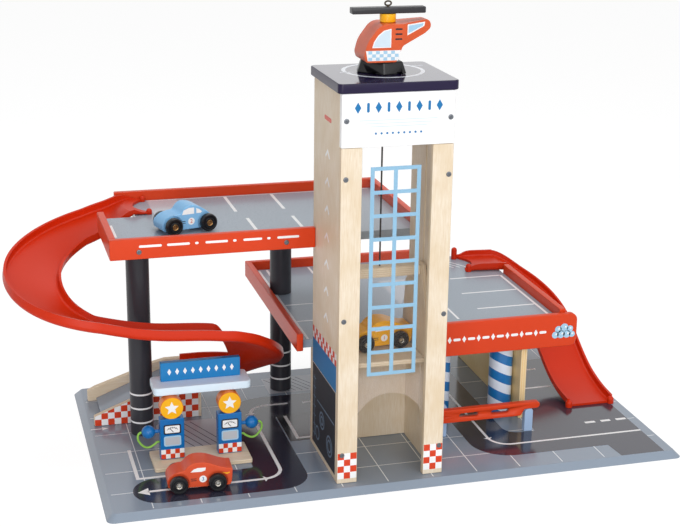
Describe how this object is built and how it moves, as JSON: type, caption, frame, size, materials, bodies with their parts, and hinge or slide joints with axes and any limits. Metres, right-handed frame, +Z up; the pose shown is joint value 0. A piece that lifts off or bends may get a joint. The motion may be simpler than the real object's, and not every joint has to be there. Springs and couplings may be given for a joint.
{
  "type": "toy garage",
  "caption": "Wooden toy parking garage: tower with cranked lift and helipad, two parking decks with slides to the ground, fuel pumps, car wash, barrier, helicopter and cars.",
  "frame": {"origin": "centre of the base board's underside", "axes": "+X to the right along the base board's long side, +Y to the back, +Z up"},
  "size_m": [0.7892, 0.4225, 0.5532],
  "materials": {
    "printed_board": "grey printed and varnished board",
    "birch_ply": "clear varnished birch plywood, laminated edges",
    "red_paint": "satin orange red lacquer on wood",
    "red_plastic": "moulded red plastic, satin gloss",
    "charcoal_paint": "satin charcoal lacquer on turned wood",
    "clear_sheet": "clear acrylic sheet",
    "black_plastic": "black moulded plastic",
    "blue_paint": "satin blue lacquer on wood",
    "pale_blue_paint": "satin pale blue lacquer on wood",
    "yellow_paint": "satin yellow lacquer on wood",
    "steel": "bright wire",
    "green_cord": "green elastic cord",
    "black_cord": "black braided cord"
  },
  "bodies": {
    "garage": {"base_board": "printed_board", "boom_post": "pale_blue_paint", "boom_rest": "pale_blue_paint", "left_slide": "red_plastic", "lower_back_rail": "red_paint", "lower_deck": "printed_board", "lower_right_rail": "red_paint", "pillar_left": "charcoal_paint", "pillar_mid_lower": "charcoal_paint", "pillar_mid_upper": "charcoal_paint", "pump_canopy": "pale_blue_paint", "pump_island": "birch_ply", "pump_left": "blue_paint", "pump_right": "blue_paint", "ramp_back_wall": "birch_ply", "ramp_deck": "printed_board", "ramp_front_wall": "birch_ply", "right_slide": "red_plastic", "roof_board": "printed_board", "tower_back_board": "birch_ply", "tower_left_panel": "birch_ply", "tower_left_post": "birch_ply", "tower_right_panel": "birch_ply", "tower_right_post": "birch_ply", "tower_sign_board": "birch_ply", "upper_back_rail": "red_paint", "upper_deck": "printed_board", "upper_fascia": "red_paint", "upper_left_rail": "red_paint", "wash_fascia": "red_paint", "wash_wall": "birch_ply", "window_pane": "clear_sheet"},
    "lift": {"lift_platform": "birch_ply", "lift_left_cheek": "birch_ply", "lift_right_cheek": "birch_ply", "lift_crossbar": "birch_ply", "lift_cord": "black_cord"},
    "winch": {"winch_crank": "red_paint"},
    "helicopter": {"heli_skid": "black_plastic", "heli_body": "red_paint", "heli_hub": "yellow_paint", "heli_eye_pin": "steel"},
    "rotor": {"heli_rotor": "charcoal_paint"},
    "nozzle_left_body": {"nozzle_left": "blue_paint", "hose_left": "green_cord"},
    "nozzle_right_body": {"nozzle_right": "blue_paint", "hose_right": "green_cord"},
    "wash_roller_left": {"roller_left": "blue_paint"},
    "wash_roller_right": {"roller_right": "blue_paint"},
    "barrier_boom": {"boom": "red_paint"},
    "car_red": {"car_red_body": "red_paint"},
    "car_red_front_axle": {"car_red_wheels_front": "black_plastic"},
    "car_red_rear_axle": {"car_red_wheels_rear": "black_plastic"},
    "car_blue": {"car_blue_body": "pale_blue_paint"},
    "car_blue_front_axle": {"car_blue_wheels_front": "black_plastic"},
    "car_blue_rear_axle": {"car_blue_wheels_rear": "black_plastic"},
    "car_yellow": {"car_yellow_body": "yellow_paint"},
    "car_yellow_front_axle": {"car_yellow_wheels_front": "black_plastic"},
    "car_yellow_rear_axle": {"car_yellow_wheels_rear": "black_plastic"}
  },
  "joints": [
    {"name": "lift_travel", "type": "slide", "parent": "garage", "child": "lift", "axis": [0, 0, 1], "range_m": [-0.129, 0.131], "deforming": ["lift_cord"]},
    {"name": "winch_turn", "type": "hinge", "parent": "garage", "child": "winch", "pos_m": [-0.02, -0.104, 0.435], "axis": [-1, 0, 0], "range_deg": [-675, 685]},
    {"name": "helicopter_lift_off", "type": "slide", "parent": "garage", "child": "helicopter", "axis": [0, 0, 1], "range_m": [0, 0.15]},
    {"name": "rotor_spin", "type": "hinge", "parent": "helicopter", "child": "rotor", "pos_m": [-0.0162, -0.113, 0.54], "axis": [0, 0, 1], "continuous": true},
    {"name": "nozzle_left_pull", "type": "slide", "parent": "garage", "child": "nozzle_left_body", "axis": [-1, 0, 0], "range_m": [0, 0.012]},
    {"name": "nozzle_right_pull", "type": "slide", "parent": "garage", "child": "nozzle_right_body", "axis": [1, 0, 0], "range_m": [0, 0.012]},
    {"name": "roller_left_spin", "type": "hinge", "parent": "garage", "child": "wash_roller_left", "pos_m": [0.091, -0.02, 0.071], "axis": [0, 0, 1], "continuous": true},
    {"name": "roller_right_spin", "type": "hinge", "parent": "garage", "child": "wash_roller_right", "pos_m": [0.176, -0.02, 0.071], "axis": [0, 0, 1], "continuous": true},
    {"name": "boom_lift", "type": "hinge", "parent": "garage", "child": "barrier_boom", "pos_m": [0.07, -0.084, 0.0385], "axis": [0, -1, 0], "range_deg": [0, 80]},
    {"name": "car_red_roll", "type": "slide", "parent": "garage", "child": "car_red", "axis": [0.9981, -0.061, 0], "range_m": [-0.06, 0.06]},
    {"name": "car_red_front_spin", "type": "hinge", "parent": "car_red", "child": "car_red_front_axle", "pos_m": [-0.26256, -0.13466, 0.0188], "axis": [0.061, 0.9981, 0], "continuous": true},
    {"name": "car_red_rear_spin", "type": "hinge", "parent": "car_red", "child": "car_red_rear_axle", "pos_m": [-0.21864, -0.13734, 0.0188], "axis": [0.061, 0.9981, 0], "continuous": true},
    {"name": "car_blue_roll", "type": "slide", "parent": "garage", "child": "car_blue", "axis": [0.9659, 0.2588, 0], "range_m": [-0.035, 0.04]},
    {"name": "car_blue_front_spin", "type": "hinge", "parent": "car_blue", "child": "car_blue_front_axle", "pos_m": [-0.24725, -0.00809, 0.2858], "axis": [-0.2588, 0.9659, 0], "continuous": true},
    {"name": "car_blue_rear_spin", "type": "hinge", "parent": "car_blue", "child": "car_blue_rear_axle", "pos_m": [-0.20475, 0.00329, 0.2858], "axis": [-0.2588, 0.9659, 0], "continuous": true},
    {"name": "car_yellow_roll", "type": "slide", "parent": "lift", "child": "car_yellow", "axis": [0.993, 0.1184, 0], "range_m": [-0.016, 0.0012]},
    {"name": "car_yellow_front_spin", "type": "hinge", "parent": "car_yellow", "child": "car_yellow_front_axle", "pos_m": [-0.03635, -0.0966, 0.1548], "axis": [-0.1184, 0.993, 0], "continuous": true},
    {"name": "car_yellow_rear_spin", "type": "hinge", "parent": "car_yellow", "child": "car_yellow_rear_axle", "pos_m": [0.00734, -0.0914, 0.1548], "axis": [-0.1184, 0.993, 0], "continuous": true}
  ],
  "couplings": [
    {"joint": "winch_turn", "follows": "lift_travel", "rad_per_m": 90.909}
  ]
}
